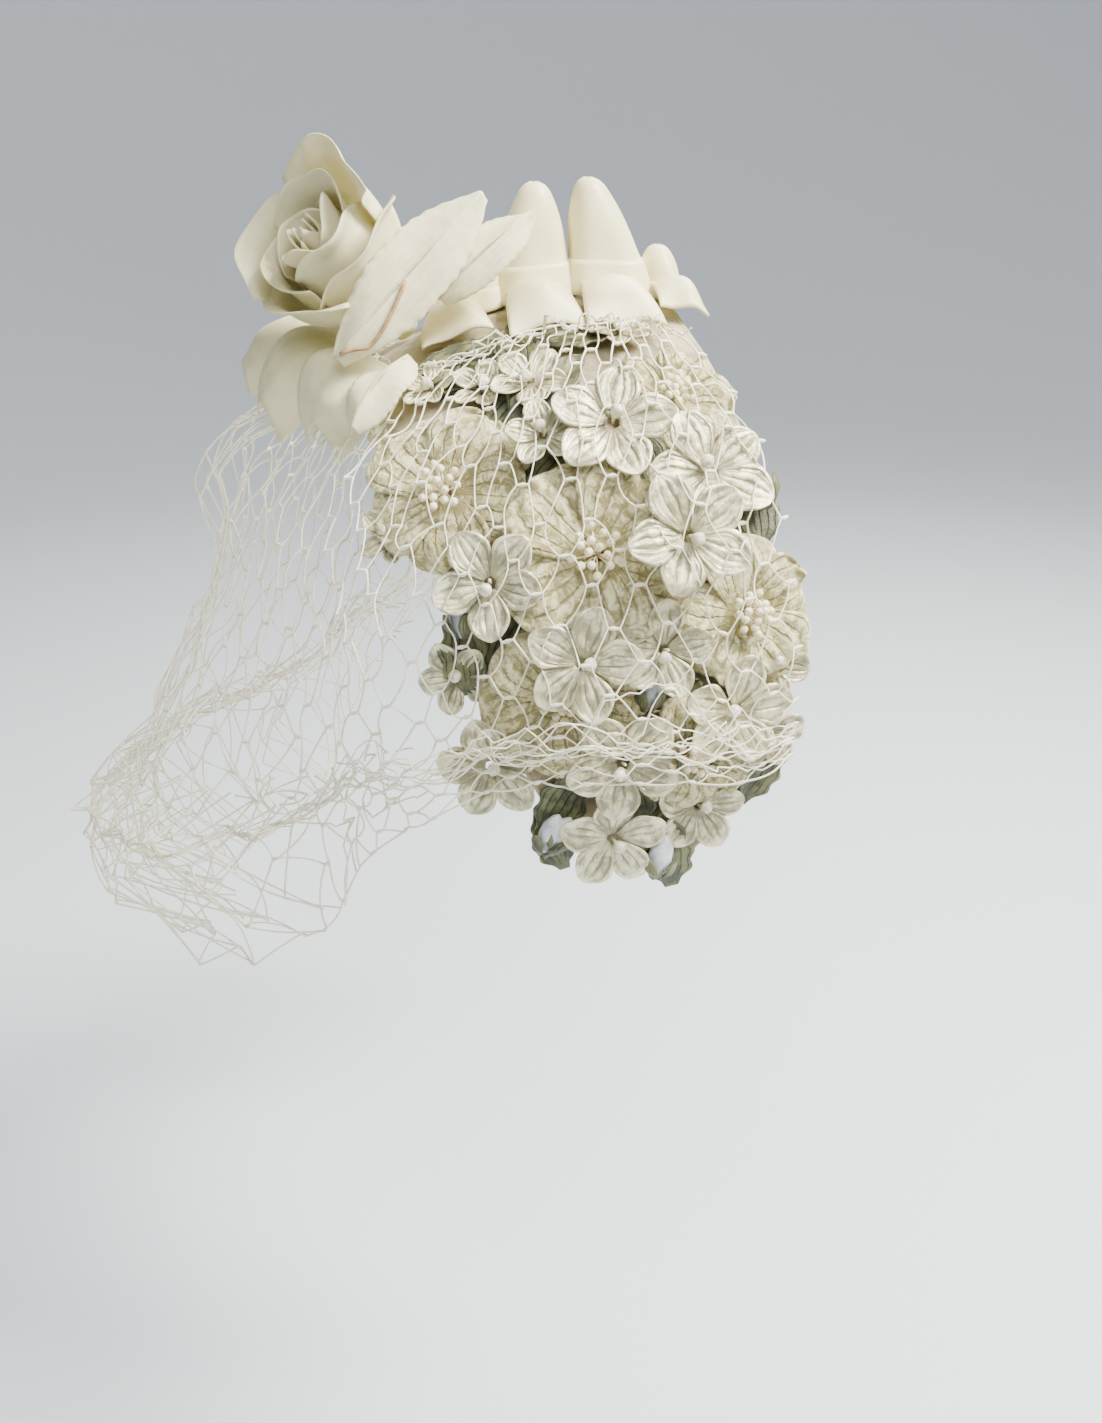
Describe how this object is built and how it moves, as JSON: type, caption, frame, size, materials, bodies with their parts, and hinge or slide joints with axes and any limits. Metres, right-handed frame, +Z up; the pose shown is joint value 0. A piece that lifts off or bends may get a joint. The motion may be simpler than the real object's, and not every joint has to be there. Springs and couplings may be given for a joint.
{
  "type": "bridal headpiece",
  "caption": "Curved cloth band that sits over the crown, with a silk rose, satin ribbon loops, velvet and satin flowers on both sides and a short coarse net veil puffed over the brow.",
  "frame": {"origin": "top of the crown, on the inner face of the band, where the headpiece sits", "axes": "+Z up out of the crown, -Y towards the brow and the veil, +X towards the wearer's left"},
  "size_m": [0.1781, 0.1785, 0.2001],
  "materials": {
    "band": "matt stiffened cloth",
    "velvet": "matt velvet",
    "satin": "soft sheen",
    "bud": "satin sheen",
    "leaf": "waxed cloth",
    "silk": "fine matt silk",
    "ribbon": "satin sheen",
    "net": "matt thread"
  },
  "bodies": {
    "root": {"base_band": "band", "bud_1": "bud", "bud_2": "bud", "bud_3": "bud", "bud_4": "bud", "leaf_1": "leaf", "leaf_2": "leaf", "leaf_3": "leaf", "leaf_4": "leaf", "leaf_5": "leaf", "ribbon_knot": "ribbon", "ribbon_loop_1": "ribbon", "ribbon_loop_2": "ribbon", "ribbon_loop_3": "ribbon", "right_satin_flower_1": "satin", "right_satin_flower_2": "satin", "right_satin_flower_3": "satin", "right_velvet_flower_1": "velvet", "right_velvet_flower_2": "velvet", "right_velvet_flower_3": "velvet", "right_velvet_flower_4": "velvet", "right_velvet_flower_5": "velvet", "rose_heart": "silk", "rose_inner_petal_1": "silk", "rose_inner_petal_2": "silk", "rose_inner_petal_3": "silk", "rose_leaf_1": "silk", "rose_leaf_2": "silk", "rose_leaf_3": "silk", "rose_lower_petal_1": "silk", "rose_lower_petal_2": "silk", "rose_lower_petal_3": "silk", "rose_middle_petal_1": "silk", "rose_middle_petal_2": "silk", "rose_middle_petal_3": "silk", "rose_outer_petal_1": "silk", "rose_outer_petal_2": "silk", "rose_outer_petal_3": "silk", "rose_outer_petal_4": "silk", "satin_flower_1": "satin", "satin_flower_10": "satin", "satin_flower_11": "satin", "satin_flower_12": "satin", "satin_flower_2": "satin", "satin_flower_3": "satin", "satin_flower_4": "satin", "satin_flower_5": "satin", "satin_flower_6": "satin", "satin_flower_7": "satin", "satin_flower_8": "satin", "satin_flower_9": "satin", "veil_front": "net", "veil_left": "net", "veil_right": "net", "velvet_flower_1": "velvet", "velvet_flower_2": "velvet", "velvet_flower_3": "velvet", "velvet_flower_4": "velvet", "velvet_flower_5": "velvet", "velvet_flower_6": "velvet"}
  },
  "joints": []
}
